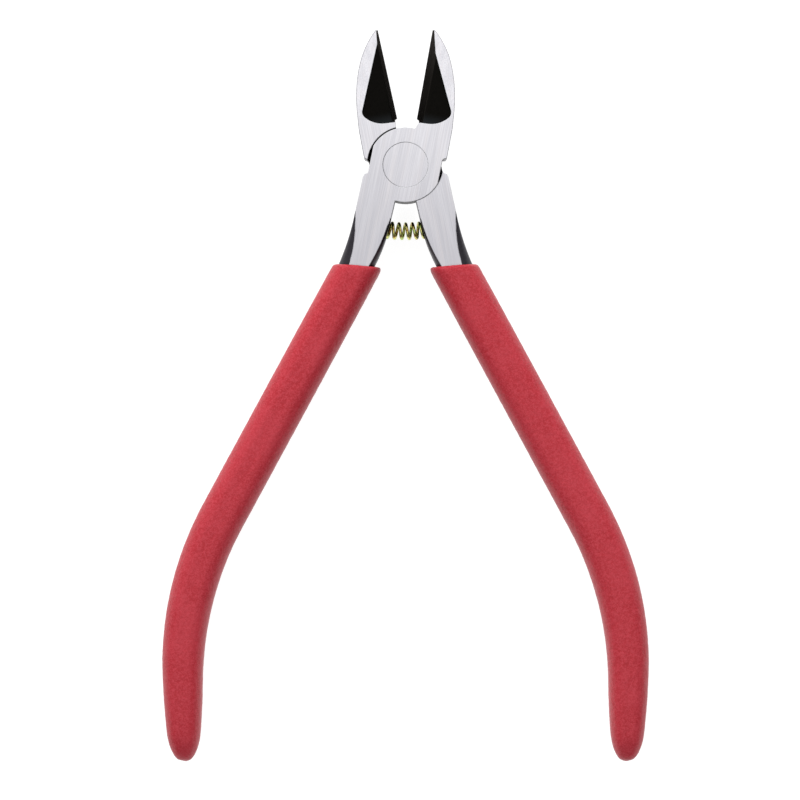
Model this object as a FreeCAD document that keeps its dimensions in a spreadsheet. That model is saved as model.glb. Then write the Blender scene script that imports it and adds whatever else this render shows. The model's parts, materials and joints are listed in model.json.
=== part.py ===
import FreeCAD, Part
import math
import os
import re
import Sketcher
from FreeCAD import Placement, Rotation, Vector

# Sprue nippers, in millimetres. The tool lies on its back: the pivot's axis is Z, its rear ground
# face is at Z = 0 and the jaws point along +Y. Each half is drawn as it lies with the jaws shut,
# and is then turned about the pivot by open_angle, which is how the spring holds it.

DRIVING_SIZES = {
    "head_thickness": 8.0,        # ground front face to ground rear face
    "lap_gap": 0.06,              # air between the two half-thickness laps
    "disc_radius": 6.09,          # round lap of each half
    "wall_gap": 0.12,             # air between a lap and the wall that it turns inside
    "wall_shift": 0.065,          # the wall stands a little further off on the jaw's side
    "open_angle": 11.25,          # each half, from shut to where the spring holds it
    "waist_half_width": 5.75,
    "shoulder_half_width": 6.45,
    "shoulder_height": 2.72,      # corners above and below the waist
    "jaw_reach": 23.0,            # pivot to jaw tips
    "jaw_root": 8.12,             # where the cutting edge starts
    "edge_gap": 0.03,             # each cutting edge stops this short of the middle
    "line_root_x": 0.25,          # the line that the edges meet on leans across the middle
    "line_tip_x": -0.06,
    "relief_foot": 0.35,          # half the gap between the jaws where they meet the laps
    "relief_width": 0.5,          # each jaw stands back this far from the line below its edge
    "taper_start": 9.0,           # the front face falls away from here to the tips
    "tip_thickness": 2.4,
    "facet_start": 0.3,           # thickness of the blade at its very edge
    "facet_slope": 40.0,          # sharpened facet along the cutting edge
    "front_facet_width": 1.35,
    "rear_facet_width": 0.7,
    "floor_slope": 12.0,          # floor of the hollow behind the facet
    "hollow_shift": 0.18,         # both hollows lie a little to the front half's side
    "hollow_tip": 0.28,           # width of the hollow at the very tip
    "rivet_radius": 3.65,
    "rivet_head": 1.6,
    "shank_radius": 2.4,
    "tail_radius": 3.1,
    "tail_depth": 1.2,
    "running_fit": 0.03,
    "handle_start": 9.0,          # below the pivot: the forged part of the handle starts
    "crotch_shift": 0.52,         # where the handle's inner side leaves the lap
    "handle_inner": 0.62,
    "handle_outer": 6.57,
    "forged_length": 10.0,
    "inner_sweep": 1.83,          # how far each side has moved out at the end of that part
    "outer_sweep": 1.18,
    "flat_edge": 0.06,            # the ground flat stops this short of the side, at the start
    "flat_loss_inner": 0.6,       # how much narrower it is at each side when it meets the grip
    "flat_loss_outer": 1.6,
    "flat_edge_front": 0.26,      # as flat_edge, on the inner side of each half
    "flat_edge_rear": 0.1,
    "edge_depth": 0.1,            # how far down the sides the rounding reaches, at the start
    "edge_deepening": 3.3,        # how much deeper it is when it meets the grip
    "lean": 17.2,                 # handle's straight stretch, from the middle line
    "bend_radius": 54.0,
    "bend_start_x": 18.19,
    "bend_start_y": -62.03,
    "bend_turn": 29.5,            # past it the handle runs straight to its end
    "tang_half_width": 2.3,
    "tang_half_depth": 3.3,
    "grip_half_width": 3.7,
    "grip_half_depth": 4.9,
    "rim_inner_y": -17.95,        # the grip's rim slopes down from the inner to the outer side
    "rim_outer_y": -18.95,
    "rim_outer_x": 9.0,
    "spring_y": -10.85,
    "spring_coil_radius": 1.24,
    "spring_wire_radius": 0.25,
    "spring_turns": 10.0,
    "spring_seat_x": 3.85,
    "spring_straight": 2.0,       # stretch of the spring that lies straight inside each pocket
    "pocket_radius": 1.66,
}

REAR, FRONT = -1, 1               # side of the middle line that a half's jaw is on

doc = FreeCAD.newDocument("SprueNippers")


def make_sheet():
    """Writes the driving sizes, one row each, with an alias in front of every expression."""
    sheet = doc.addObject("Spreadsheet::Sheet", "Sizes")
    for row, (alias, value) in enumerate(DRIVING_SIZES.items(), start=1):
        sheet.set(f"A{row}", alias)
        sheet.set(f"B{row}", str(value))
        sheet.setAlias(f"B{row}", alias)
    doc.recompute()
    return sheet


sheet = make_sheet()


def size(alias):
    """A driving size, for the few shapes that are worked out in this file's own code."""
    return float(sheet.get(alias))


def expression(text):
    """Puts the sheet's name before every alias in an expression."""
    return re.sub(r"[a-z_]+", lambda word: "Sizes." * (word[0] in DRIVING_SIZES) + word[0], text)


# ---------------------------------------------------------------- sketches

def new_sketch(body, name, plane, across="0", up="0", out="0", turn="0"):
    """A sketch on one of the body's own planes, moved in that plane, off it, and turned upright."""
    sketch = body.newObject("Sketcher::SketchObject", name)
    role = {feature.Role: feature for feature in body.Origin.OriginFeatures}
    sketch.AttachmentSupport = [(role[plane], "")]
    sketch.MapMode = "FlatFace"
    sketch.AttachmentOffset = Placement(Vector(0, 0, 0), Rotation(Vector(0, 1, 0), 1))
    sketch.setExpression("AttachmentOffset.Base.x", expression(across))
    sketch.setExpression("AttachmentOffset.Base.y", expression(up))
    sketch.setExpression("AttachmentOffset.Base.z", expression(out))
    sketch.setExpression("AttachmentOffset.Rotation.Angle", expression(turn))
    return sketch


def pin(sketch, geometry, point, corner, name):
    """Holds a point of the sketch at two expressions, measured from the sketch's origin."""
    for kind, value in zip(("DistanceX", "DistanceY"), corner):
        start = sketch.evalExpression(expression(value))
        index = sketch.addConstraint(Sketcher.Constraint(kind, -1, 1, geometry, point, float(start)))
        sketch.renameConstraint(index, f"{name}_{kind}")
        sketch.setExpression(f"Constraints.{name}_{kind}", expression(value))


def draw_outline(sketch, corners):
    """Draws a closed outline. A corner is (x, y); with (x, y, via_x, via_y) an arc leads on from it."""
    def place(x, y):
        return Vector(*(float(sketch.evalExpression(expression(value))) for value in (x, y)), 0)

    edges = []
    for number, corner in enumerate(corners):
        start = place(*corner[:2])
        end = place(*corners[(number + 1) % len(corners)][:2])
        if len(corner) == 2:
            edges.append((sketch.addGeometry(Part.LineSegment(start, end), False), 1, 2))
            continue
        via = place(*corner[2:])
        bend = Part.Arc(start, via, end)
        arc = sketch.addGeometry(bend, False)
        runs_back = (via - start).cross(end - via).z < 0
        edges.append((arc, 2, 1) if runs_back else (arc, 1, 2))
        mark = sketch.addGeometry(Part.Point(via), True)
        pin(sketch, mark, 1, corner[2:], f"via{number}")
        sketch.addConstraint(Sketcher.Constraint("PointOnObject", mark, 1, arc))
    for number, (edge, start, end) in enumerate(edges):
        following, next_start, _ = edges[(number + 1) % len(edges)]
        sketch.addConstraint(Sketcher.Constraint("Coincident", edge, end, following, next_start))
        pin(sketch, edge, start, corners[number][:2], f"corner{number}")


def draw_circle(sketch, radius, centre_x="0", centre_y="0"):
    """Draws a circle whose centre and radius are held at expressions."""
    start = Vector(*(float(sketch.evalExpression(expression(v))) for v in (centre_x, centre_y)), 0)
    first_radius = float(sketch.evalExpression(expression(radius)))
    circle = sketch.addGeometry(Part.Circle(start, Vector(0, 0, 1), first_radius), False)
    pin(sketch, circle, 3, (centre_x, centre_y), "centre")
    index = sketch.addConstraint(Sketcher.Constraint("Radius", circle, first_radius))
    sketch.renameConstraint(index, "round_size")
    sketch.setExpression("Constraints.round_size", expression(radius))


def mirrored(side, corners):
    """The same outline with its jaw or handle on the other side of the middle line."""
    return [tuple(f"{side} * ( {value} )" if place % 2 == 0 else value
                  for place, value in enumerate(corner)) for corner in corners]


# ---------------------------------------------------------------- features

def pad(body, sketch, length):
    """Raises the sketch's outline to a length, as material of the body."""
    feature = body.newObject("PartDesign::Pad", sketch.Name + "_pad")
    feature.Profile = sketch
    feature.setExpression("Length", expression(length))
    doc.recompute()
    return feature


def pocket(body, sketch, length, forwards=False, both_ways=False):
    """Cuts the sketch's outline out of the body, and makes sure that something was cut."""
    before = body.Shape.Volume
    feature = body.newObject("PartDesign::Pocket", sketch.Name + "_pocket")
    feature.Profile = sketch
    feature.setExpression("Length", expression(length))
    feature.Reversed = forwards
    if both_ways:
        feature.SideType = "Symmetric"
    doc.recompute()
    assert feature.Shape.Volume < before - 0.01, f"{feature.Name} cuts nothing"
    return feature


def loft(body, sketches, ruled=False):
    """Fills the body out from the first sketch, through each of the others in turn, to the last."""
    feature = body.newObject("PartDesign::AdditiveLoft", sketches[0].Name + "_loft")
    feature.Profile = sketches[0]
    feature.Sections = sketches[1:]
    feature.Ruled = ruled
    doc.recompute()
    return feature


def open_out(part, side):
    """Turns a piece about the pivot, from where it is drawn to where the spring holds it."""
    part.Placement = Placement(Vector(0, 0, 0), Rotation(Vector(0, 0, 1), 1))
    part.setExpression("Placement.Rotation.Angle", expression(f"{-side} * open_angle"))


# ---------------------------------------------------------------- the two halves

def head_outline(side):
    """Jaw, round lap and the top of the handle, in one outline, for a jaw on the +X side."""
    line_root = f"({side} * line_root_x)"
    line_tip = f"({side} * line_tip_x)"
    corners = [
        (f"{line_tip} + edge_gap", "jaw_reach"),
        (f"{line_tip} + hollow_tip + 0.04", "jaw_reach", "2.55", "20.55"),
        ("4.03", "18.0", "5.46", "13.8"),
        ("6.07", "10.3"),
        ("shoulder_half_width - 0.09", "7.15"),
        ("shoulder_half_width - 0.05", "shoulder_height - 0.1"),
        ("shoulder_half_width - 0.15", "shoulder_height - 0.42"),
        ("waist_half_width + 0.15", "shoulder_height - 0.6"),
        ("waist_half_width", "shoulder_height - 0.9"),
        ("waist_half_width", "-1 * sqrt(disc_radius ^ 2 - waist_half_width ^ 2)",
         "disc_radius * cos(50)", "-1 * disc_radius * sin(50)"),
        ("-1 * crotch_shift", "-1 * sqrt(disc_radius ^ 2 - crotch_shift ^ 2)"),
        ("-1 * handle_inner", "-1 * handle_start"),
        ("-1 * handle_outer", "-1 * handle_start"),
        ("-1 * shoulder_half_width", "-1 * shoulder_height - 0.6"),
        ("-1 * shoulder_half_width + 0.17", "-1 * shoulder_height - 0.06"),
        ("-1 * waist_half_width - 0.06", "-1 * shoulder_height + 0.24"),
        ("-1 * waist_half_width", "-1 * shoulder_height + 0.5"),
        ("-1 * waist_half_width", "sqrt(disc_radius ^ 2 - waist_half_width ^ 2)",
         "-1 * disc_radius * cos(50)", "disc_radius * sin(50)"),
        ("relief_foot", "sqrt(disc_radius ^ 2 - relief_foot ^ 2)"),
        (f"{line_root} + relief_width", "jaw_root - 1.08"),
        (f"{line_root} + relief_width - 0.07", "jaw_root - 0.2"),
        (f"{line_root} + edge_gap", "jaw_root"),
    ]
    return mirrored(side, corners)


def section_outline(inner, outer, inner_inset, outer_inset, depth, low, high):
    """A section with flat front and rear faces, whose sides round off from the flats to full width."""
    flat_inner = f"({inner} + {inner_inset})"
    flat_outer = f"({outer} - {outer_inset})"
    low_side = f"({low} + {depth})"
    high_side = f"({high} - {depth})"

    def via(flat, side, z_flat, z_side):
        """Point halfway round a corner: most of the way out, and little of the way down."""
        return f"{flat} + ({side} - {flat}) * 0.707", f"{z_flat} + ({z_side} - {z_flat}) * 0.293"

    return [
        (flat_inner, low),
        (flat_outer, low, *via(flat_outer, outer, low, low_side)),
        (outer, low_side),
        (outer, high_side, *via(flat_outer, outer, high, high_side)),
        (flat_outer, high),
        (flat_inner, high, *via(flat_inner, inner, high, high_side)),
        (inner, high_side),
        (inner, low_side, *via(flat_inner, inner, low, low_side)),
    ]


def forged_handle(body, side):
    """The forged stretch between the head and the grip: the ground flats narrow as it rounds off."""
    inner_start = "flat_edge_front" if side == FRONT else "flat_edge_rear"
    sections = []
    for step in range(6):
        share = step / 5
        sketch = new_sketch(body, f"forged_{step}", "XZ_Plane",
                            out=f"handle_start + forged_length * {share}")
        outline = section_outline(
            inner=f"(handle_inner + inner_sweep * {share ** 2})",
            outer=f"(handle_outer + outer_sweep * {share ** 2})",
            inner_inset=f"({inner_start} + flat_loss_inner * {share})",
            outer_inset=f"(flat_edge + flat_loss_outer * sin(90 * {share}))",
            depth=f"(edge_depth + edge_deepening * {share})",
            low="0",
            high="head_thickness")
        draw_outline(sketch, mirrored(-side, outline))
        sections.append(sketch)
    doc.recompute()
    loft(body, sections)


def path_station(station):
    """Where the handle's middle line is, and how it leans there.

    A station is mm back up the straight stretch, degrees round the bend, or mm past the bend."""
    kind, amount = station
    if kind == "straight":
        return (f"(bend_start_x - {amount} * sin(lean))", f"(bend_start_y + {amount} * cos(lean))", "lean")
    turn, past = (amount, 0) if kind == "bend" else ("bend_turn", amount)
    there = f"lean - {turn}"
    across = f"bend_radius * (cos({there}) - cos(lean)) + {past} * sin({there})"
    down = f"bend_radius * (sin(lean) - sin({there})) + {past} * cos({there})"
    return f"(bend_start_x + {across})", f"(bend_start_y - ({down}))", f"({there})"


def bar_along_handle(body, side, stations, half_width, half_depth, name, ruled=False):
    """A rounded bar along the handle's middle line. Each station has its place and its share of size."""
    sections = []
    for number, (station, width_share, depth_share) in enumerate(stations):
        x, y, lean = path_station(station)
        sketch = new_sketch(body, f"{name}_{number}", "XZ_Plane", across=f"{-side} * {x}",
                            up="head_thickness / 2", out=f"-1 * {y}", turn=f"{-side} * {lean}")
        reach = f"({half_width} * {width_share})"
        rise = f"({half_depth} * {depth_share})"
        outline = section_outline(
            inner=f"(-1 * {reach})", outer=reach, inner_inset=f"({reach} * 0.75)",
            outer_inset=f"({reach} * 0.75)", depth=f"({rise} * 0.7)", low=f"(-1 * {rise})", high=rise)
        draw_outline(sketch, outline)
        sections.append(sketch)
    doc.recompute()
    loft(body, sections, ruled)


# Stations of a bar, each with its shares of the full half width and half depth.
TANG_STATIONS = [
    (("straight", 47.5), 1.0, 1.0), (("straight", 24), 1.0, 1.0), (("bend", 0), 1.0, 1.0),
    (("bend", 12), 0.97, 0.98), (("bend", 24), 0.9, 0.94), (("past", 3.5), 0.76, 0.82),
]

GRIP_STATIONS = [
    (("straight", 50), 1.01, 1.02), (("straight", 25), 1.02, 1.0), (("bend", 0), 1.02, 0.98),
    (("bend", 12), 0.99, 0.97), (("bend", 19), 0.955, 0.955), (("bend", 26), 0.91, 0.935),
    (("bend", 29.5), 0.88, 0.915),
]

GRIP_END_STATIONS = [
    (("bend", 29.5), 0.88, 0.915), (("past", 3.4), 0.85, 0.89), (("past", 6.8), 0.79, 0.84),
    (("past", 9.3), 0.73, 0.78), (("past", 10.9), 0.645, 0.69), (("past", 11.75), 0.55, 0.585),
    (("past", 12.55), 0.435, 0.465), (("past", 13.1), 0.32, 0.345), (("past", 13.45), 0.21, 0.22),
]

HOLLOW_KINK = {FRONT: ("1.22", "19.1"), REAR: ("0.66", "20.6")}   # where a hollow's outer wall bends


def make_hollow(label, side):
    """The space that is ground out of a jaw's front, down to the facet along the edge and a floor."""
    body = doc.addObject("PartDesign::Body", label + "_hollow")
    walls = new_sketch(body, "walls", "XY_Plane")
    shift = f"({side} * hollow_shift)"
    tip_x = f"({side} * line_tip_x + hollow_tip)"
    draw_outline(walls, mirrored(side, [
        ("-0.6", "7.08"),
        (f"2.2 + {shift}", "7.25", f"4.25 + {shift}", "7.98"),
        (f"5.2 + {shift}", "8.85", f"5.45 + {shift}", "9.4"),
        (f"5.32 + {shift}", "10.2"),
        HOLLOW_KINK[side],
        (tip_x, "jaw_reach"),
        (tip_x, "jaw_reach + 0.5"),
        ("-0.6", "jaw_reach + 0.5"),
    ]))
    doc.recompute()
    pad(body, walls, "head_thickness + 1")

    # What stays below the hollow: the facet rises from the edge, then the floor less steeply.
    facet_width = "front_facet_width" if side == FRONT else "rear_facet_width"
    floor_end = f"facet_start + {facet_width} * tan(facet_slope)"
    floors = new_sketch(body, "floors", "XZ_Plane")
    draw_outline(floors, mirrored(side, [
        ("-1", "-1"),
        ("7", "-1"),
        ("7", f"{floor_end} + (7 - {facet_width}) * tan(floor_slope)"),
        (facet_width, floor_end),
        ("-1", "facet_start - tan(facet_slope)"),
    ]))
    doc.recompute()
    pocket(body, floors, "3 * jaw_reach", both_ways=True)
    open_out(body, side)
    return body


def make_half(label, side):
    """One forging: a jaw on one side, a half-thickness lap at the pivot, a handle on the other side."""
    body = doc.addObject("PartDesign::Body", label + "_forging")
    head = new_sketch(body, "head", "XY_Plane")
    draw_outline(head, head_outline(side))
    doc.recompute()
    pad(body, head, "head_thickness")
    forged_handle(body, side)
    bar_along_handle(body, side, TANG_STATIONS, "tang_half_width", "tang_half_depth", "tang")

    # The front half keeps the front of the lap, and the rear half keeps the back of it.
    lap_height = "head_thickness" if side == REAR else "0"
    lap = new_sketch(body, "lap", "XY_Plane", out=lap_height)
    draw_circle(lap, "disc_radius + wall_gap", f"{side} * wall_shift", "wall_shift")
    doc.recompute()
    pocket(body, lap, "head_thickness / 2 + lap_gap / 2", forwards=side == FRONT)

    bore = new_sketch(body, "bore", "XY_Plane", out="head_thickness")
    draw_circle(bore, "shank_radius + running_fit")
    doc.recompute()
    pocket(body, bore, "head_thickness")
    sink_radius = "rivet_radius" if side == FRONT else "tail_radius"
    sink_depth = "rivet_head" if side == FRONT else "tail_depth"
    sink = new_sketch(body, "sink", "XY_Plane", out="head_thickness" if side == FRONT else "0")
    draw_circle(sink, f"{sink_radius} + running_fit")
    doc.recompute()
    pocket(body, sink, f"{sink_depth} + running_fit", forwards=side == REAR)

    spring_hole = new_sketch(body, "spring_hole", "YZ_Plane")
    draw_circle(spring_hole, "pocket_radius", "spring_y", "head_thickness / 2")
    doc.recompute()
    pocket(body, spring_hole, "spring_seat_x + 0.1", forwards=side == REAR)

    taper = new_sketch(body, "taper", "YZ_Plane")
    draw_outline(taper, [
        ("taper_start", "head_thickness"),
        ("jaw_reach + 1", "tip_thickness - (head_thickness - tip_thickness) / (jaw_reach - taper_start)"),
        ("jaw_reach + 1", "head_thickness + 1"),
        ("taper_start", "head_thickness + 1"),
    ])
    doc.recompute()
    pocket(body, taper, "jaw_reach", both_ways=True)
    open_out(body, side)

    half = doc.addObject("Part::Cut", label)
    half.Label = label
    half.Base = body
    half.Tool = make_hollow(label, side)
    doc.recompute()
    return half


# ---------------------------------------------------------------- rivet, grips and spring

def make_rivet():
    """Turned rivet: a wide head sunk flush in the front, a shank, and a tail spread flush behind."""
    body = doc.addObject("PartDesign::Body", "pivot_rivet")
    body.Label = "pivot_rivet"
    profile = new_sketch(body, "rivet_profile", "XZ_Plane")
    draw_outline(profile, [
        ("0", "0"),
        ("tail_radius", "0"),
        ("tail_radius", "tail_depth"),
        ("shank_radius", "tail_depth"),
        ("shank_radius", "head_thickness - rivet_head"),
        ("rivet_radius", "head_thickness - rivet_head"),
        ("rivet_radius", "head_thickness"),
        ("0", "head_thickness"),
    ])
    doc.recompute()
    turned = body.newObject("PartDesign::Revolution", "rivet_turned")
    turned.Profile = profile
    turned.ReferenceAxis = (profile, ["V_Axis"])
    turned.Angle = 360
    open_out(body, REAR)
    return body


def make_grip(label, half, side):
    """Vinyl grip, dipped over its handle: a rounded bar with a slanting rim, hollow for the steel."""
    blank = doc.addObject("PartDesign::Body", label + "_blank")
    bar_along_handle(blank, side, GRIP_STATIONS, "grip_half_width", "grip_half_depth", "grip")
    bar_along_handle(blank, side, GRIP_END_STATIONS, "grip_half_width", "grip_half_depth", "end", True)
    above_rim = new_sketch(blank, "above_rim", "XY_Plane", out="-1 * head_thickness")
    slope = "((rim_outer_y - rim_inner_y) / rim_outer_x)"
    draw_outline(above_rim, mirrored(-side, [
        ("-6", f"rim_inner_y - 6 * {slope}"),
        ("15", f"rim_inner_y + 15 * {slope}"),
        ("15", "-8"),
        ("-6", "-8"),
    ]))
    doc.recompute()
    pocket(blank, above_rim, "3 * head_thickness", forwards=True)
    open_out(blank, side)
    doc.recompute()
    grip = doc.addObject("Part::Cut", label)
    grip.Label = label
    grip.Base = blank
    grip.Tool = half
    return grip


def spring_middle_line(distance):
    """Point at a distance along the bent spring from its middle, and the direction that it runs in.

    Its ends lie straight in their pockets, and one arc joins them."""
    half_turn = math.radians(size("open_angle"))
    seat = Vector(size("spring_seat_x"), size("spring_y"), 0)
    inside_pocket = Vector(size("spring_straight"), 0, 0)
    arc_end = Rotation(Vector(0, 0, 1), size("open_angle")).multVec(seat - inside_pocket)
    radius = arc_end.x / math.sin(half_turn)
    centre = Vector(0, arc_end.y + radius * math.cos(half_turn), 0)
    turn = max(-half_turn, min(half_turn, distance / radius))
    direction = Vector(math.cos(turn), math.sin(turn), 0)
    on_arc = centre + Vector(math.sin(turn), -math.cos(turn), 0) * radius
    return on_arc + direction * (distance - turn * radius), direction, half_turn * radius


def make_spring():
    """Compression spring between the handles: one wire wound about the bent middle line."""
    _, _, half_arc = spring_middle_line(0)
    half_length = half_arc + size("spring_straight") - size("spring_wire_radius")
    turns = size("spring_turns")
    steps = int(turns) * 12
    middle_height = Vector(0, 0, size("head_thickness") / 2)
    points = []
    for step in range(steps + 1):
        share = step / steps
        point, direction, _ = spring_middle_line((2 * share - 1) * half_length)
        sideways = Vector(-direction.y, direction.x, 0)
        angle = 2 * math.pi * turns * share
        offset = sideways * math.cos(angle) + Vector(0, 0, 1) * math.sin(angle)
        points.append(point + middle_height + offset * size("spring_coil_radius"))
    wire_line = Part.BSplineCurve()
    wire_line.interpolate(points)
    path = Part.Wire([wire_line.toShape()])
    wire_end = Part.Circle(points[0], wire_line.tangent(0)[0], size("spring_wire_radius"))
    section = Part.Wire([wire_end.toShape()])
    spring = doc.addObject("Part::Feature", "return_spring")
    spring.Label = "return_spring"
    spring.Shape = path.makePipeShell([section], True, True)
    spring.Placement = Placement()
    return spring


# ---------------------------------------------------------------- build, check and write

rear_half = make_half("rear_half", REAR)
front_half = make_half("front_half", FRONT)
pieces = [
    rear_half,
    front_half,
    make_rivet(),
    make_grip("right_grip", rear_half, REAR),
    make_grip("left_grip", front_half, FRONT),
    make_spring(),
]
doc.recompute()

for item in doc.Objects:
    assert not {"Invalid", "Error"} & set(item.State), f"{item.Name} failed: {item.State}"
os.makedirs("parts", exist_ok=True)
for piece in pieces:
    assert not piece.Shape.isNull() and piece.Shape.isValid(), f"{piece.Label} has no sound shape"
    assert len(piece.Shape.Solids) == 1, f"{piece.Label} is in {len(piece.Shape.Solids)} solids"
    piece.Shape.exportStep(f"parts/{piece.Label}.step")
    box = piece.Shape.BoundBox
    print(f"{piece.Label}: {piece.Shape.Volume:.1f} mm3, "
          f"{box.XLength:.2f} x {box.YLength:.2f} x {box.ZLength:.2f} mm")
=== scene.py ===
import json
import math

import bmesh
import bpy
from mathutils import Matrix, Vector


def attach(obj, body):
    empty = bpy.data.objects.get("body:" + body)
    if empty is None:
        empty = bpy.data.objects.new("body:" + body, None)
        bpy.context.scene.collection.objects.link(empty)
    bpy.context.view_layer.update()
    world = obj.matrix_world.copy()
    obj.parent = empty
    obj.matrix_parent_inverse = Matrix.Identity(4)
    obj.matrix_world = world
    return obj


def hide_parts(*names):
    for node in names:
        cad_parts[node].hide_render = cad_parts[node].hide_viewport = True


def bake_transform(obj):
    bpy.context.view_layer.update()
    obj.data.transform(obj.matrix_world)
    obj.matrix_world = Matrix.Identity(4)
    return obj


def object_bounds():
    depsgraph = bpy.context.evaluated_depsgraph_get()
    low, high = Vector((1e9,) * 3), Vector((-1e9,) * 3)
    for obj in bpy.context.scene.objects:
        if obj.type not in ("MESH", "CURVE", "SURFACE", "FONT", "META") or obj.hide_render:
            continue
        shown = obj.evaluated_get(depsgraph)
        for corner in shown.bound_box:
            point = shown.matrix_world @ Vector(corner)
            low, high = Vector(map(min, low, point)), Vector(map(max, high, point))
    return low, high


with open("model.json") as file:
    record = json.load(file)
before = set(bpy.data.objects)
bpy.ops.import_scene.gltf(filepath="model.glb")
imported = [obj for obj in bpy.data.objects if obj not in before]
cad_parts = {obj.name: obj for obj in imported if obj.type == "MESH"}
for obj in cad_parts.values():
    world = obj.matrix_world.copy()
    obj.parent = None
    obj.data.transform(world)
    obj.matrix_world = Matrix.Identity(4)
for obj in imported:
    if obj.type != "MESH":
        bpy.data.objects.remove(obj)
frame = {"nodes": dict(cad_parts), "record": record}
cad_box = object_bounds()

# Sprue nippers lying on their back on a pale table, seen from straight above. The steel halves and the
# rivet are the CAD nodes with ground, hollowed and forged finishes; the two vinyl grips and the return
# spring are modelled here, in the places of their CAD solids.

MM = 0.001
THICKNESS = max(mount["pos_m"][2] for mount in frame["record"]["mounts"])
OPEN_ANGLE = math.radians(11.25)            # each half, from shut to where the spring holds it

# Middle line of the handle as it lies when shut: a straight stretch, then one bend.
LEAN = math.radians(17.2)
BEND_RADIUS = 54.0 * MM
BEND_START = Vector((18.19, -62.03, 0)) * MM
BEND_TURN = math.radians(29.5)              # past it the handle runs straight to its end
GRIP_HALF_WIDTH = 3.7 * MM
GRIP_HALF_DEPTH = 4.9 * MM
GRIP_MIDDLE = THICKNESS / 2

FRONT, REAR = 1, -1                         # side of the middle line that a half's jaw is on

# Millimetres, as the tool lies when shut.
TAPER_START = 9.0                           # the front face falls away from here to the tips
TAPER_SLOPE = 0.4
JOINT_REACH = 6.35                          # laps, walls and gaps round the pivot
HOLLOW_FOOT = 6.9                           # the hollows start above here
FORGED_TOP = -3.3                           # below here the sides are left as forged
FACET_WIDTH = {FRONT: 1.35, REAR: 0.6}      # along each cutting edge

# Colours, as linear red, green, blue.
STEEL_BRIGHT = (0.90, 0.89, 0.93, 1)
# painted shade: ground steel darkens from the jaws towards the handles, where less light falls
STEEL_PAINTED_SHADE = (0.66, 0.65, 0.69, 1)
STEEL_LINE = (0.84, 0.84, 0.85, 1)         # what a grinding line lets through of the shade
STEEL_WARM = (0.86, 0.77, 0.74, 1)
# painted shade along the outer edges, and a painted highlight along the edges that turn inwards
PAINTED_EDGE_SHADE = (0.22, 0.22, 0.235, 1)
GLINTING_EDGE = (0.96, 0.97, 1.0, 1)
MACHINED = ((0.24, 0.235, 0.25, 1), (0.34, 0.335, 0.35, 1))
FORGED = ((0.034, 0.032, 0.038, 1), (0.062, 0.058, 0.069, 1))
# painted shade: near black where the hollows and the gaps round the joint lie in shade
PAINTED_SHADE_BLACK = ((0.003, 0.003, 0.0025, 1), (0.009, 0.008, 0.007, 1))
# painted reflection: a faint bluish sheen at the foot of the hollow and a faint brownish one on its facet
PAINTED_FOOT_SHEEN = (0.020, 0.023, 0.025, 1)
PAINTED_FACET_SHEEN = (0.036, 0.0315, 0.028, 1)
VINYL_LOW = (0.40, 0.016, 0.026, 1)
# painted sheen: paler pinks for the grain's ridges and for broad glossy wisps
VINYL_PAINTED_SHEEN = (0.50, 0.040, 0.058, 1)
VINYL_WISP_SHEEN = (0.53, 0.050, 0.070, 1)
WIRE_FILM = (
    (0.32, (0.34, 0.16, 0.05, 1)), (0.42, (0.64, 0.52, 0.14, 1)), (0.52, (0.80, 0.80, 0.30, 1)),
    (0.62, (0.42, 0.62, 0.18, 1)), (0.72, (0.62, 0.60, 0.18, 1)),
)


# ---------------------------------------------------------------- camera, light and table

VIEW_WIDTH = 130.24 * MM                    # what the camera takes in at the front face
VIEW_MIDDLE = (-0.91 * MM, -38.3 * MM)


def make_camera():
    """Looks straight down on the tool through a long lens, with the jaws at the top."""
    data = bpy.data.cameras.new("camera")
    data.lens = 200
    data.sensor_width = 36
    data.clip_end = 10
    camera = bpy.data.objects.new("camera", data)
    height = VIEW_WIDTH * data.lens / data.sensor_width
    camera.location = Vector((*VIEW_MIDDLE, THICKNESS + height))
    bpy.context.collection.objects.link(camera)
    bpy.context.scene.camera = camera


def area_light(name, place, target, size, watts):
    """A round white light that faces its target."""
    data = bpy.data.lights.new(name, "AREA")
    data.shape = "DISK"
    data.size = size
    data.energy = watts
    light = bpy.data.objects.new(name, data)
    light.location = place
    light.rotation_euler = (Vector(target) - Vector(place)).to_track_quat("-Z", "Y").to_euler()
    bpy.context.collection.objects.link(light)
    return light


BRIGHT_SIDE = (-0.12, 0.50, 0.86)           # where the room is brightest: above, and beyond the jaws
ROOM_DIM, ROOM_BRIGHT = 0.12, 1.04
KEY_PLACE = (-0.09, 0.38, 0.26)
KEY_TARGET = (0, -0.04, 0)
KEY_SIZE = 0.25
KEY_WATTS = 1.5
TABLE_GLOW = 0.92


def make_light():
    """A pale room, dimmer to the sides and behind the handles, and one soft light beyond the jaws."""
    world = bpy.data.worlds.new("room")
    bpy.context.scene.world = world
    world.use_nodes = True
    tree = world.node_tree
    direction = tree.nodes.new("ShaderNodeTexCoord").outputs["Generated"]
    towards = put(tree, "ShaderNodeVectorMath", {0: direction, 1: BRIGHT_SIDE}, output=1,
                  operation="DOT_PRODUCT")
    strength = between(tree, towards, -0.05, 0.84, ROOM_DIM, ROOM_BRIGHT)
    background = tree.nodes["Background"]
    background.inputs["Color"].default_value = (1.0, 1.0, 1.0, 1.0)
    tree.links.new(strength, background.inputs["Strength"])
    key = area_light("key", KEY_PLACE, KEY_TARGET, KEY_SIZE, KEY_WATTS)
    key.visible_glossy = False              # it shapes the vinyl and leaves no glare on the steel
    bpy.context.scene.view_settings.view_transform = "Standard"


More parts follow.
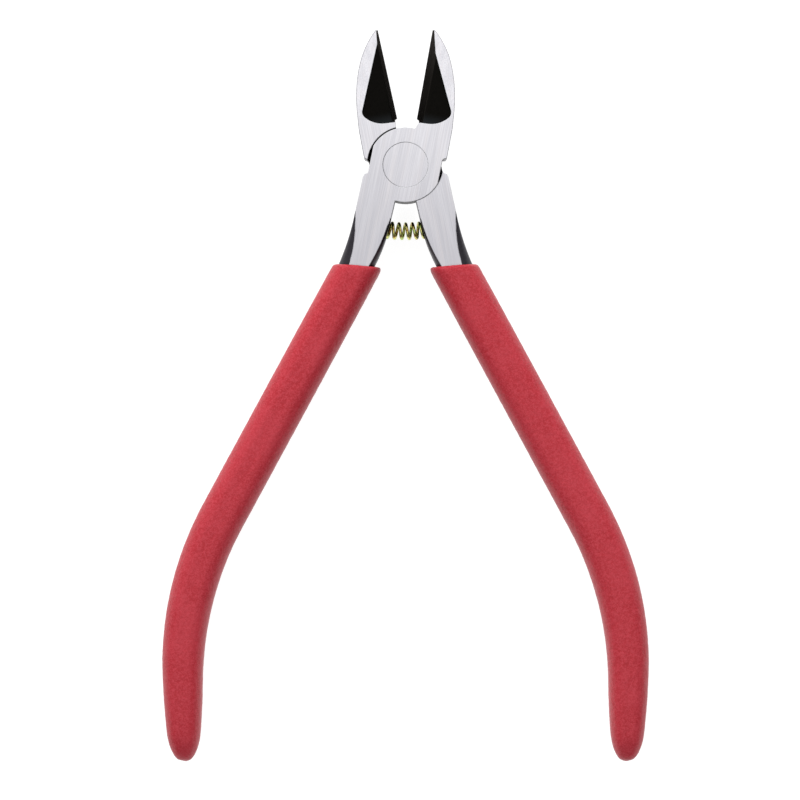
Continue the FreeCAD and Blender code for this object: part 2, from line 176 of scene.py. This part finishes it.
def make_table(height):
    """A white light table, on which shadows stay faint."""
    bpy.ops.mesh.primitive_plane_add(size=4, location=(0, 0, height))
    table = bpy.context.object
    table.name = "table"
    material, tree, surface = new_material("table_white")
    surface["Base Color"].default_value = (0.24, 0.24, 0.24, 1)
    surface["Roughness"].default_value = 0.9
    surface["Emission Color"].default_value = (1, 1, 1, 1)
    surface["Emission Strength"].default_value = TABLE_GLOW
    table.data.materials.append(material)


# ---------------------------------------------------------------- nodes

def new_material(name):
    """An empty Principled material, its node tree and the shader's inputs."""
    material = bpy.data.materials.new(name)
    material.use_nodes = True
    tree = material.node_tree
    return material, tree, tree.nodes["Principled BSDF"].inputs


def fill_inputs(tree, node, inputs):
    """Links each of a node's named inputs to a socket, or sets it to a value."""
    for name, value in inputs.items():
        if isinstance(value, bpy.types.NodeSocket):
            tree.links.new(value, node.inputs[name])
        else:
            node.inputs[name].default_value = value


def put(tree, kind, inputs=None, output=0, **settings):
    """Adds a node, fills its inputs, and gives back one of its outputs."""
    node = tree.nodes.new(kind)
    for name, value in settings.items():
        setattr(node, name, value)
    fill_inputs(tree, node, inputs or {})
    return node.outputs[output]


def maths(tree, operation, first, second=0.0):
    """One step of arithmetic on two values or sockets."""
    return put(tree, "ShaderNodeMath", {0: first, 1: second}, operation=operation)


def between(tree, value, low, high, from_value=0.0, to_value=1.0):
    """Turns a value from low to high smoothly into one from from_value to to_value."""
    return put(tree, "ShaderNodeMapRange", {"Value": value, "From Min": low, "From Max": high,
                                            "To Min": from_value, "To Max": to_value},
               interpolation_type="SMOOTHSTEP")


def mix_colour(tree, share, first, second, blend="MIX"):
    """The first colour where share is 0, and the second laid over it where share is 1."""
    return put(tree, "ShaderNodeMix", {0: share, 6: first, 7: second}, output=2,
               data_type="RGBA", blend_type=blend)


def mix_value(tree, share, first, second):
    """The first value where share is 0, the second where it is 1."""
    return put(tree, "ShaderNodeMix", {0: share, 2: first, 3: second}, data_type="FLOAT")


def new_group(name, inputs, outputs):
    """An empty node group with named sockets, and its input and output nodes."""
    group = bpy.data.node_groups.new(name, "ShaderNodeTree")
    for socket, kind in inputs.items():
        group.interface.new_socket(socket, in_out="INPUT", socket_type=kind)
    for socket, kind in outputs.items():
        group.interface.new_socket(socket, in_out="OUTPUT", socket_type=kind)
    return group, group.nodes.new("NodeGroupInput").outputs, group.nodes.new("NodeGroupOutput").inputs


def use_group(tree, group, inputs):
    """Adds a shared effect to a tree, fills its inputs, and gives back its outputs."""
    node = tree.nodes.new("ShaderNodeGroup")
    node.node_tree = group
    fill_inputs(tree, node, inputs)
    return node.outputs


# ---------------------------------------------------------------- effects that materials share

# Grinding lines: how many there are to a millimetre across them (X and Z) and along them (Y).
LINES_PER_MM = 9.0
LINE_STRETCH = 0.12
DRIFT_SCALE = (0.9, 0.045, 0.9)
TINT_SCALE = (1.7, 0.06, 1.7)

FACE_SKIN = (0.04, 0.02)                    # mm from the front and the rear face that count as the face
LEVEL_FACING = 0.9                          # least Z of a facing that counts as level


def make_brush_lines():
    """Fine grinding lines along Y, and two broader ones for the drift of shade and of tint."""
    group, given, out = new_group(
        "brush_lines", {"Place": "NodeSocketVector", "Lines per mm": "NodeSocketFloat"},
        {"Lines": "NodeSocketFloat", "Drift": "NodeSocketFloat", "Tint": "NodeSocketFloat"})
    fineness = put(group, "ShaderNodeCombineXYZ", {"X": given["Lines per mm"], "Y": LINE_STRETCH,
                                                   "Z": given["Lines per mm"]})
    for name, scale, detail in (("Lines", fineness, 4.0), ("Drift", DRIFT_SCALE, 2.0),
                                ("Tint", TINT_SCALE, 2.0)):
        stretched = put(group, "ShaderNodeVectorMath", {0: given["Place"], 1: scale}, operation="MULTIPLY")
        noise = put(group, "ShaderNodeTexNoise", {"Vector": stretched, "Scale": 1.0, "Detail": detail})
        group.links.new(noise, out[name])
    return group


def make_steel_zones():
    """Where a half is ground bright, hollowed out, shaded inside the joint, or forged.

    Place is in millimetres and Facing is a direction, both with the tool shut and the jaw on +X."""
    group, given, out = new_group(
        "steel_zones", {"Place": "NodeSocketVector", "Facing": "NodeSocketVector"},
        {"Ground": "NodeSocketFloat", "Hollow": "NodeSocketFloat", "Joint": "NodeSocketFloat",
         "Forged": "NodeSocketFloat"})
    place = put(group, "ShaderNodeSeparateXYZ", {0: given["Place"]}).node.outputs
    facing = put(group, "ShaderNodeSeparateXYZ", {0: given["Facing"]}).node.outputs
    fall = maths(group, "MULTIPLY",
                 maths(group, "MAXIMUM", maths(group, "SUBTRACT", place["Y"], TAPER_START)), TAPER_SLOPE)
    front = maths(group, "SUBTRACT", THICKNESS / MM, fall)
    near_front = maths(group, "GREATER_THAN", place["Z"], maths(group, "SUBTRACT", front, FACE_SKIN[0]))
    near_rear = maths(group, "LESS_THAN", place["Z"], FACE_SKIN[1])
    level = maths(group, "GREATER_THAN", maths(group, "ABSOLUTE", facing["Z"]), LEVEL_FACING)
    ground = maths(group, "MULTIPLY", maths(group, "MAXIMUM", near_front, near_rear), level)
    sunk = maths(group, "SUBTRACT", 1.0, ground)

    on_jaw = maths(group, "GREATER_THAN", place["Y"], HOLLOW_FOOT)
    faces_in = maths(group, "LESS_THAN", facing["X"], 0.3)
    hollow = maths(group, "MULTIPLY", maths(group, "MULTIPLY", on_jaw, faces_in), sunk)

    level_place = put(group, "ShaderNodeCombineXYZ", {"X": place["X"], "Y": place["Y"], "Z": 0.0})
    from_pivot = put(group, "ShaderNodeVectorMath", {0: level_place}, output=1, operation="LENGTH")
    joint = maths(group, "MULTIPLY", maths(group, "LESS_THAN", from_pivot, JOINT_REACH), sunk)
    forged = maths(group, "MULTIPLY", maths(group, "LESS_THAN", place["Y"], FORGED_TOP), sunk)
    for name, mask in (("Ground", ground), ("Hollow", hollow), ("Joint", joint), ("Forged", forged)):
        group.links.new(mask, out[name])
    return group


def make_edge_line():
    """How near a sharp edge is, and whether it is the outer edge: Bevelled is the rounded-off facing."""
    group, given, out = new_group(
        "edge_line", {"Facing": "NodeSocketVector", "Bevelled": "NodeSocketVector"},
        {"Outer": "NodeSocketFloat", "Inner": "NodeSocketFloat"})
    turned = put(group, "ShaderNodeVectorMath", {0: given["Bevelled"], 1: given["Facing"]},
                 operation="SUBTRACT")
    sideways = put(group, "ShaderNodeSeparateXYZ", {0: turned}).node.outputs
    group.links.new(between(group, sideways["X"], 0.03, 0.16), out["Outer"])
    amount = put(group, "ShaderNodeVectorMath", {0: turned}, output=1, operation="LENGTH")
    inward = maths(group, "LESS_THAN", sideways["X"], 0.06)
    group.links.new(maths(group, "MULTIPLY", between(group, amount, 0.1, 0.4), inward), out["Inner"])
    return group


# ---------------------------------------------------------------- materials

EDGE_RADIUS = 0.19 * MM                     # rounding that the sharp edges seem to have
SCRATCH_DEPTH = 0.01 * MM
LEATHER_DEPTH = 0.1 * MM


def steel_frame(tree, side):
    """Place in millimetres and facing, as if the tool were shut and the jaw lay on +X."""
    coordinates = tree.nodes.new("ShaderNodeTexCoord").outputs
    turn = (0, 0, side * OPEN_ANGLE)
    shut = put(tree, "ShaderNodeMapping", {"Vector": coordinates["Object"], "Rotation": turn})
    place = put(tree, "ShaderNodeMapping", {"Vector": shut, "Scale": (side / MM, 1 / MM, 1 / MM)})
    turned = put(tree, "ShaderNodeMapping", {"Vector": coordinates["Normal"], "Rotation": turn})
    facing = put(tree, "ShaderNodeMapping", {"Vector": turned, "Scale": (side, 1, 1)})
    return place, facing


def ground_look(tree, place, brush):
    """Colour, roughness and height of ground steel, with painted shade that makes it a little darker
    towards the handles.
    """
    lines = use_group(tree, brush, {"Place": place, "Lines per mm": LINES_PER_MM})
    along = put(tree, "ShaderNodeSeparateXYZ", {0: place}).node.outputs["Y"]
    # painted shade: darker towards the handles, lighter towards the jaws
    shade = mix_colour(tree, between(tree, along, -18.0, 14.0), STEEL_PAINTED_SHADE, STEEL_BRIGHT)
    lined = mix_colour(tree, between(tree, lines["Lines"], 0.35, 0.65), shade, STEEL_LINE, "MULTIPLY")
    drifted = mix_colour(tree, between(tree, lines["Drift"], 0.4, 0.65, 0.0, 0.4), lined, STEEL_LINE,
                         "MULTIPLY")
    warm = mix_colour(tree, between(tree, lines["Tint"], 0.45, 0.7, 0.0, 0.14), drifted, STEEL_WARM)
    rough = between(tree, lines["Lines"], 0.3, 0.7, 0.42, 0.30)
    return warm, rough, lines["Lines"]


def steel_material(name, side, brush, zones, edge_line):
    """One half's finish: ground faces and dark forged sides, with painted shade that makes the hollow and
    the gaps round the joint near black.
    """
    material, tree, surface = new_material(name)
    place, facing = steel_frame(tree, side)
    zone = use_group(tree, zones, {"Place": place, "Facing": facing})
    bright, bright_rough, lines = ground_look(tree, place, brush)

    rounded = put(tree, "ShaderNodeBevel", {"Radius": EDGE_RADIUS}, samples=6)
    as_object = put(tree, "ShaderNodeVectorTransform", {"Vector": rounded}, vector_type="NORMAL",
                    convert_from="WORLD", convert_to="OBJECT")
    turned = put(tree, "ShaderNodeMapping", {"Vector": as_object, "Rotation": (0, 0, side * OPEN_ANGLE)})
    bevelled = put(tree, "ShaderNodeMapping", {"Vector": turned, "Scale": (side, 1, 1)})
    edge = use_group(tree, edge_line, {"Facing": facing, "Bevelled": bevelled})
    # painted shade: a dark line on the outer edges; painted highlight: a bright hairline on the inner ones
    edge_shaded = mix_colour(tree, maths(tree, "MULTIPLY", edge["Outer"], 0.9), bright, PAINTED_EDGE_SHADE)
    ground = mix_colour(tree, maths(tree, "MULTIPLY", edge["Inner"], 0.9), edge_shaded, GLINTING_EDGE)

    grain = put(tree, "ShaderNodeTexNoise", {"Vector": place, "Scale": 4.0, "Detail": 5.0})
    machined = mix_colour(tree, grain, *MACHINED)
    forged = mix_colour(tree, grain, *FORGED)
    # painted shade: the hollows and the joint are coloured near black
    painted_black = mix_colour(tree, grain, *PAINTED_SHADE_BLACK)
    where = put(tree, "ShaderNodeSeparateXYZ", {0: place}).node.outputs
    on_facet = between(tree, where["X"], FACET_WIDTH[side] - 0.1, FACET_WIDTH[side] + 0.1, 1.0, 0.0)
    at_foot = between(tree, where["Y"], HOLLOW_FOOT + 0.3, HOLLOW_FOOT + 2.7, 1.0, 0.0)
    # painted reflection: lighter towards the foot of the hollow and on the facet along the cutting edge
    sheened_floor = mix_colour(tree, at_foot, painted_black, PAINTED_FOOT_SHEEN)
    hollowed = mix_colour(tree, on_facet, sheened_floor, PAINTED_FACET_SHEEN)

    sides = mix_colour(tree, zone["Forged"], machined, forged)
    # painted shade: the gaps round the joint are near black
    sides = mix_colour(tree, zone["Joint"], sides, painted_black)
    sides = mix_colour(tree, zone["Hollow"], sides, hollowed)
    tree.links.new(mix_colour(tree, zone["Ground"], sides, ground), surface["Base Color"])

    surface["Metallic"].default_value = 1.0
    side_rough = mix_value(tree, zone["Hollow"], 0.46, 0.34)
    tree.links.new(mix_value(tree, zone["Ground"], side_rough, bright_rough), surface["Roughness"])

    height = mix_value(tree, zone["Ground"], maths(tree, "MULTIPLY", grain, 3.0), lines)
    bump = put(tree, "ShaderNodeBump", {"Height": height, "Strength": 0.3, "Distance": SCRATCH_DEPTH,
                                        "Normal": rounded})
    tree.links.new(bump, surface["Normal"])
    return material


def rivet_material(brush):
    """Ground off level with the front half, with the same lines running over it."""
    material, tree, surface = new_material("ground_rivet")
    place, _ = steel_frame(tree, FRONT)
    colour, rough, lines = ground_look(tree, place, brush)
    tree.links.new(colour, surface["Base Color"])
    tree.links.new(rough, surface["Roughness"])
    surface["Metallic"].default_value = 1.0
    bump = put(tree, "ShaderNodeBump", {"Height": lines, "Strength": 0.3, "Distance": SCRATCH_DEPTH})
    tree.links.new(bump, surface["Normal"])
    return material


def vinyl_material():
    """Red vinyl with a fine leathery grain, with painted sheen that makes it paler where the grain stands
    up and in broad wisps.
    """
    material, tree, surface = new_material("red_vinyl")
    coordinates = tree.nodes.new("ShaderNodeTexCoord").outputs
    place = put(tree, "ShaderNodeMapping", {"Vector": coordinates["Object"],
                                            "Scale": (1 / MM, 1 / MM, 1 / MM)})
    grain = put(tree, "ShaderNodeTexNoise", {"Vector": place, "Scale": 3.0, "Detail": 2.0,
                                             "Distortion": 1.4})
    pores = put(tree, "ShaderNodeTexNoise", {"Vector": place, "Scale": 6.0, "Detail": 2.0})
    clouds = put(tree, "ShaderNodeTexNoise", {"Vector": place, "Scale": 0.16, "Detail": 2.0})
    # painted sheen: paler pink on the grain's ridges and in broad cloudy wisps
    red = mix_colour(tree, between(tree, grain, 0.38, 0.62), VINYL_LOW, VINYL_PAINTED_SHEEN)
    wisp_sheened = mix_colour(tree, between(tree, clouds, 0.38, 0.68, 0.0, 0.3), red, VINYL_WISP_SHEEN)
    tree.links.new(wisp_sheened, surface["Base Color"])
    tree.links.new(between(tree, pores, 0.3, 0.7, 0.36, 0.5), surface["Roughness"])
    surface["Specular IOR Level"].default_value = 0.28
    height = maths(tree, "ADD", grain, maths(tree, "MULTIPLY", pores, 0.2))
    bump = put(tree, "ShaderNodeBump", {"Height": height, "Strength": 0.55, "Distance": LEATHER_DEPTH})
    tree.links.new(bump, surface["Normal"])
    return material


def wire_material():
    """Zinc-plated wire whose yellow film drifts between brown, gold and green."""
    material, tree, surface = new_material("passivated_wire")
    coordinates = tree.nodes.new("ShaderNodeTexCoord").outputs
    place = put(tree, "ShaderNodeMapping", {"Vector": coordinates["Object"],
                                            "Scale": (1 / MM, 1 / MM, 1 / MM)})
    film = put(tree, "ShaderNodeTexNoise", {"Vector": place, "Scale": 1.1, "Detail": 2.0})
    ramp = put(tree, "ShaderNodeValToRGB", {"Fac": film})
    stops = ramp.node.color_ramp.elements
    for number, (stop, colour) in enumerate(WIRE_FILM):
        element = stops[number] if number < len(stops) else stops.new(stop)
        element.position = stop
        element.color = colour
    tree.links.new(ramp, surface["Base Color"])
    surface["Metallic"].default_value = 1.0
    tree.links.new(between(tree, film, 0.3, 0.7, 0.2, 0.32), surface["Roughness"])
    return material


# ---------------------------------------------------------------- modelling

def deselect_everything():
    """Leaves nothing selected, so that an operator acts only on what is made next."""
    for thing in bpy.context.selected_objects:
        thing.select_set(False)


def handle_point(distance, side):
    """Point and lean of a handle's middle line, at a distance down it from where its bend starts."""
    turn = min(max(0.0, distance) / BEND_RADIUS, BEND_TURN)
    straight = distance - turn * BEND_RADIUS
    lean = LEAN - turn
    x = BEND_START.x + BEND_RADIUS * (math.cos(lean) - math.cos(LEAN)) + straight * math.sin(lean)
    y = BEND_START.y - BEND_RADIUS * (math.sin(LEAN) - math.sin(lean)) - straight * math.cos(lean)
    point = Matrix.Rotation(OPEN_ANGLE, 3, "Z") @ Vector((x, y, GRIP_MIDDLE))
    point.x *= side
    return point, (lean + OPEN_ANGLE) * side


GRIP_TOP = -46.6 * MM                       # crest of the rim, along the middle line
RIM_SLANT = math.radians(24.3)              # rim plane, from square across the handle
SLANT_FADES = 12 * MM                       # below the rim the rings are square across again
GRIP_CORNER = 0.75                          # rounding of the section, as a share of its half width
RING_SPACING = 1.05 * MM
CLOSEST_RINGS = 0.04 * MM                   # towards the bottom the rings draw together to this
LAST_RING = 0.06 * MM                       # the last ring is at most this far from the bottom
WRINKLE_SIZE = 0.7 * MM
WRINKLE_HEIGHT = 0.09 * MM

# Rings of a grip from inside its mouth, over the rim: depth below the crest, how far the ring stands
# in from full size on the inner and outer sides, and how much the outer side hangs lower.
MOUTH_RINGS = (
    (3.0, 0.98, 0.98, 0.0),
    (0.35, 0.95, 0.95, 0.0),
    (0.02, 0.8, 0.85, 0.0),
    (0.0, 0.6, 0.65, 0.0),
    (0.1, 0.3, 0.32, 0.1),
    (0.36, 0.08, 0.08, 0.35),
    (0.85, 0.0, 0.0, 0.6),
)

# Half width and half depth of a grip as shares of full size, down the middle line from the rim.
GRIP_STATIONS = (
    (-50.0, 1.01, 1.02), (-25.0, 1.02, 1.0), (0.0, 1.02, 0.98), (11.2, 0.99, 0.97), (17.9, 0.955, 0.955),
    (24.4, 0.913, 0.935), (27.8, 0.88, 0.915), (31.2, 0.85, 0.89), (34.6, 0.79, 0.84), (37.1, 0.73, 0.78),
    (38.7, 0.645, 0.69), (39.55, 0.55, 0.585), (40.35, 0.435, 0.465), (40.85, 0.32, 0.345),
    (41.08, 0.2, 0.21), (41.2, 0.1, 0.1), (41.26, 0.03, 0.03),
)
GRIP_BOTTOM = GRIP_STATIONS[-1][0] * MM


def station_share(distance, column):
    """A grip's half width (column 1) or half depth (column 2) at a distance down the middle line."""
    for above, below in zip(GRIP_STATIONS, GRIP_STATIONS[1:]):
        if distance <= below[0] * MM:
            part = (distance / MM - above[0]) / (below[0] - above[0])
            return above[column] + (below[column] - above[column]) * part
    return GRIP_STATIONS[-1][column]


def grip_rings():
    """Every ring of a grip: distance, inset on the inner and outer sides, and slant of the ring."""
    rings = []
    for depth, inner, outer, hang in MOUTH_RINGS:
        slant = RIM_SLANT - math.atan(hang * MM / GRIP_HALF_WIDTH / 2)
        rings.append((GRIP_TOP + depth * MM, inner * MM, outer * MM, slant))
    distance = rings[-1][0]
    first_slant = rings[-1][3]
    start = distance
    while distance < GRIP_BOTTOM - LAST_RING:
        distance += min(RING_SPACING, 0.3 * (GRIP_BOTTOM - distance) + CLOSEST_RINGS)
        fade = max(0.0, 1.0 - (distance - start) / SLANT_FADES)
        rings.append((distance, 0.0, 0.0, first_slant * fade * fade * (3 - 2 * fade)))
    return rings


def make_grip(name, side):
    """One vinyl grip: a rounded section drawn from inside its mouth over the rim and down the handle."""
    deselect_everything()
    bpy.ops.mesh.primitive_plane_add(size=2 * GRIP_HALF_WIDTH)
    grip = bpy.context.object
    grip.name = name
    bpy.ops.object.mode_set(mode="EDIT")
    corner = GRIP_CORNER * GRIP_HALF_WIDTH
    bpy.ops.mesh.bevel(offset=corner, segments=8, profile=0.5, affect="VERTICES")
    select_edges(grip, lambda edge: edge.calc_length() > 1 * MM)     # the straight sides
    bpy.ops.mesh.subdivide(number_cuts=3)
    bpy.ops.mesh.select_all(action="SELECT")
    bpy.ops.transform.rotate(value=math.radians(90), orient_axis="X", center_override=(0, 0, 0))

    place, heading = Vector((0, 0, 0)), 0.0
    across, deep = GRIP_HALF_WIDTH, GRIP_HALF_WIDTH
    for step, (distance, inner, outer, slant) in enumerate(grip_rings()):
        middle, lean = handle_point(distance, side)
        half = GRIP_HALF_WIDTH * station_share(distance, 1)
        next_across = (half - (inner + outer) / 2) / math.cos(slant)
        next_deep = GRIP_HALF_DEPTH * station_share(distance, 2) - inner
        next_heading = lean - side * slant
        sideways = Vector((math.cos(next_heading), math.sin(next_heading), 0)) * side
        next_place = middle - sideways * (outer - inner) / 2 / math.cos(slant)
        if step > 0:
            bpy.ops.mesh.extrude_region_move(TRANSFORM_OT_translate={"value": (0, 0, 0)})
        bpy.ops.transform.translate(value=next_place - place)
        bpy.ops.transform.rotate(value=heading - next_heading, orient_axis="Z", center_override=next_place)
        turned = Matrix.Rotation(next_heading, 3, "Z")
        bpy.ops.transform.resize(value=(next_across / across, 1, next_deep / deep), orient_type="LOCAL",
                                 orient_matrix=turned, orient_matrix_type="GLOBAL",
                                 center_override=next_place)
        place, heading, across, deep = next_place, next_heading, next_across, next_deep
    bpy.ops.mesh.select_all(action="SELECT")
    bpy.ops.mesh.normals_make_consistent(inside=False)
    bpy.ops.object.mode_set(mode="OBJECT")
    return grip


def select_edges(thing, wanted):
    """Selects the edges of a mesh in edit mode that pass a test."""
    bpy.ops.mesh.select_mode(type="EDGE")
    bpy.ops.mesh.select_all(action="DESELECT")
    shape = bmesh.from_edit_mesh(thing.data)
    for edge in shape.edges:
        edge.select_set(wanted(edge))
    bmesh.update_edit_mesh(thing.data)


def finish_grip(grip):
    """Rounds the drawn rings off, raises a slight wrinkle on them and smooths the shading."""
    subdivision = add_modifier(grip, "SUBSURF")
    subdivision.levels = subdivision.render_levels = 2
    apply_modifier(grip, subdivision)
    wrinkle = bpy.data.textures.new("wrinkle", "CLOUDS")
    wrinkle.noise_scale = WRINKLE_SIZE
    wrinkle.noise_depth = 2
    displace = add_modifier(grip, "DISPLACE")
    displace.texture = wrinkle
    displace.strength = WRINKLE_HEIGHT
    displace.mid_level = 1.0                # the crests stay at the drawn size
    apply_modifier(grip, displace)
    bpy.ops.object.shade_smooth()


def add_modifier(thing, kind):
    """Adds a modifier to a piece, which is made the only one selected."""
    deselect_everything()
    thing.select_set(True)
    bpy.context.view_layer.objects.active = thing
    return thing.modifiers.new(kind.lower(), kind)


def apply_modifier(thing, modifier):
    """Turns a modifier's effect into the piece's own mesh."""
    bpy.context.view_layer.objects.active = thing
    bpy.ops.object.modifier_apply(modifier=modifier.name)


SPRING_SEAT = Vector((3.85, -10.85, 0)) * MM  # where the wire ends, as the tool lies when shut
SPRING_STRAIGHT = 2.0 * MM                  # stretch at each end that lies straight in its pocket
SPRING_TURNS = 10
COIL_RADIUS = 1.24 * MM
WIRE_RADIUS = 0.25 * MM


def make_spring():
    """The wire's round section screwed along X, then bent between its two straight ends."""
    arc_end = Matrix.Rotation(OPEN_ANGLE, 3, "Z") @ (SPRING_SEAT - Vector((SPRING_STRAIGHT, 0, 0)))
    arc_radius = arc_end.x / math.sin(OPEN_ANGLE)
    half_arc = arc_radius * OPEN_ANGLE
    half_length = half_arc + SPRING_STRAIGHT - WIRE_RADIUS

    deselect_everything()
    bpy.ops.mesh.primitive_circle_add(vertices=16, radius=WIRE_RADIUS,
                                      location=(-half_length, COIL_RADIUS, 0))
    spring = bpy.context.object
    spring.name = "return_spring_wire"
    bpy.ops.object.transform_apply(location=True)
    screw = add_modifier(spring, "SCREW")
    screw.axis = "X"
    screw.angle = math.radians(360)
    screw.screw_offset = 2 * half_length / SPRING_TURNS
    screw.iterations = SPRING_TURNS
    screw.steps = screw.render_steps = 28
    screw.use_merge_vertices = True
    screw.merge_threshold = 0.001 * MM
    apply_modifier(spring, screw)
    bpy.ops.object.mode_set(mode="EDIT")
    bpy.ops.mesh.select_all(action="SELECT")
    bpy.ops.mesh.fill_holes(sides=0)
    bpy.ops.mesh.select_all(action="SELECT")
    bpy.ops.mesh.normals_make_consistent(inside=False)
    bpy.ops.object.mode_set(mode="OBJECT")

    bend = add_modifier(spring, "SIMPLE_DEFORM")
    bend.deform_method = "BEND"
    bend.deform_axis = "Z"
    bend.angle = 2 * OPEN_ANGLE
    arc_share = half_arc / half_length
    bend.limits = (0.5 - arc_share / 2, 0.5 + arc_share / 2)
    apply_modifier(spring, bend)
    sag = arc_end.y - arc_radius * (1 - math.cos(OPEN_ANGLE))
    spring.location = (0, sag, THICKNESS / 2)
    bpy.ops.object.transform_apply(location=True)
    bpy.ops.object.shade_smooth()
    return spring


# ---------------------------------------------------------------- the scene

make_camera()
make_light()
make_table(cad_box[0].z)

brush_lines = make_brush_lines()
steel_zones = make_steel_zones()
edge_line = make_edge_line()
finishes = {
    "front_half": steel_material("front_half_steel", FRONT, brush_lines, steel_zones, edge_line),
    "rear_half": steel_material("rear_half_steel", REAR, brush_lines, steel_zones, edge_line),
    "pivot_rivet": rivet_material(brush_lines),
}
for node, finish in finishes.items():
    frame["nodes"][node].material_slots[0].material = finish

vinyl = vinyl_material()
for name, side, body, node in (("right_grip_vinyl", 1, "rear", "right_grip"),
                               ("left_grip_vinyl", -1, "front", "left_grip")):
    grip = make_grip(name, side)
    finish_grip(grip)
    grip.data.materials.append(vinyl)
    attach(grip, body)
    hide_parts(node)

spring = make_spring()
spring.data.materials.append(wire_material())
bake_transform(spring)
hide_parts("return_spring")
